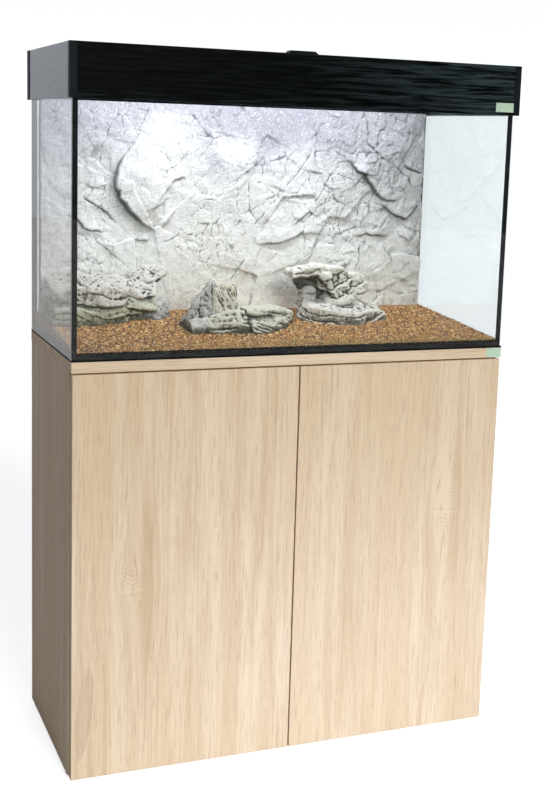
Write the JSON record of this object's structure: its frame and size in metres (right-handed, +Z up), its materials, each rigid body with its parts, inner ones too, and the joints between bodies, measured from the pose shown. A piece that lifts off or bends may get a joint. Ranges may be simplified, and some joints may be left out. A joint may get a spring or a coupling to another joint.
{
  "type": "aquarium on stand",
  "caption": "Glass aquarium with a lit black cover and rock decor, standing on a pale oak cabinet with handleless doors.",
  "frame": {"origin": "centre of the footprint at floor level, under the cabinet's gliders", "axes": "+X to the right seen from the front, -Y towards the viewer, +Z up"},
  "size_m": [0.812, 0.362, 1.246],
  "materials": {
    "oak_board": "melamine-faced board, pale sonoma oak, fine satin",
    "black_board": "black wood-grain laminate, satin",
    "black_plastic": "moulded black plastic, satin",
    "steel": "nickel-plated steel",
    "glass": "clear float glass",
    "hardboard": "thin white-faced hardboard, satin",
    "brown_plastic": "nylon glider",
    "beech": "plain beech, unfinished",
    "grey_plastic": "light grey moulded plastic",
    "label_paper": "plain pale green sticker, blank",
    "foam": "black closed-cell foam",
    "silicone": "black silicone, glossy",
    "wall_resin": "painted foam rock relief, pale grey",
    "gravel": "brown quartz gravel, 1 to 3 mm grains",
    "stone": "pale weathered stone",
    "lamp_metal": "anodised aluminium channel",
    "led_board": "white circuit board with light-emitting diodes",
    "diffuser": "opal acrylic strip"
  },
  "bodies": {
    "cabinet": {"left_side_panel": "oak_board", "right_side_panel": "oak_board", "bottom_panel": "oak_board", "centre_partition": "oak_board", "top_plate": "oak_board", "back_rails": "oak_board", "back_panel": "hardboard", "shelf": "oak_board", "shelf_pins": "steel", "gliders": "brown_plastic", "cam_fittings": "steel", "dowels": "beech", "back_panel_screws": "steel", "hinge_plates": "steel", "hinge_arms": "steel", "hinge_arm_pins": "steel", "hinge_screws": "steel", "latch_housings": "grey_plastic", "plate_label": "label_paper", "foam_mat": "foam", "base_pane": "glass", "front_pane": "glass", "back_pane": "glass", "left_pane": "glass", "right_pane": "glass", "glass_braces": "glass", "silicone_seams": "silicone", "rock_wall": "wall_resin", "gravel": "gravel", "left_rock": "stone", "middle_rock": "stone", "slab_rock": "stone", "right_rock": "stone"},
    "left_link": {"left_hinge_links": "steel"},
    "left_door": {"left_door": "oak_board", "left_hinge_cups": "steel"},
    "left_plunger": {"left_plunger": "grey_plastic"},
    "right_link": {"right_hinge_links": "steel"},
    "right_door": {"right_door": "oak_board", "right_hinge_cups": "steel"},
    "right_plunger": {"right_plunger": "grey_plastic"},
    "cover": {"cover_front": "black_board", "cover_back": "black_board", "cover_left": "black_board", "cover_right": "black_board", "corner_profiles": "black_plastic", "rim_ledges": "black_plastic", "top_battens": "black_plastic", "rear_top": "black_board", "cover_label": "label_paper", "lamp_housing": "lamp_metal", "lamp_brackets": "black_plastic", "led_strip": "led_board", "lamp_diffuser": "diffuser", "supply_socket": "black_plastic", "rear_hinge_leaves": "black_plastic", "flap_hinge_pins": "steel"},
    "flap": {"feeding_flap": "black_board", "flap_grip": "black_plastic", "flap_hinge_leaves": "black_plastic"}
  },
  "joints": [
    {"name": "left_link_swing", "type": "hinge", "parent": "cabinet", "child": "left_link", "pos_m": [-0.362, -0.151, 0.357], "axis": [0, 0, 1], "range_deg": [0, 47.3]},
    {"name": "left_door_hinge", "type": "hinge", "parent": "left_link", "child": "left_door", "pos_m": [-0.3847, -0.16, 0.357], "axis": [0, 0, -1], "range_deg": [0, 147]},
    {"name": "left_plunger_push", "type": "slide", "parent": "cabinet", "child": "left_plunger", "axis": [0, -1, 0], "range_m": [0, 0.0122]},
    {"name": "right_link_swing", "type": "hinge", "parent": "cabinet", "child": "right_link", "pos_m": [0.362, -0.151, 0.357], "axis": [0, 0, -1], "range_deg": [0, 47.3]},
    {"name": "right_door_hinge", "type": "hinge", "parent": "right_link", "child": "right_door", "pos_m": [0.3847, -0.16, 0.357], "axis": [0, 0, 1], "range_deg": [0, 147]},
    {"name": "right_plunger_push", "type": "slide", "parent": "cabinet", "child": "right_plunger", "axis": [0, -1, 0], "range_m": [0, 0.0122]},
    {"name": "cover_lift", "type": "slide", "parent": "cabinet", "child": "cover", "axis": [0, 0, 1], "range_m": [0, 0.12]},
    {"name": "flap_hinge", "type": "hinge", "parent": "cover", "child": "flap", "pos_m": [0, 0, 1.2412], "axis": [-1, 0, 0], "range_deg": [0, 100]}
  ],
  "couplings": [
    {"joint": "left_link_swing", "follows": "left_door_hinge", "ratio": 0.31973},
    {"joint": "right_link_swing", "follows": "right_door_hinge", "ratio": 0.31973},
    {"joint": "left_plunger_push", "follows": "left_door_hinge", "m_per_rad": 0.0046772},
    {"joint": "right_plunger_push", "follows": "right_door_hinge", "m_per_rad": 0.0046772}
  ]
}
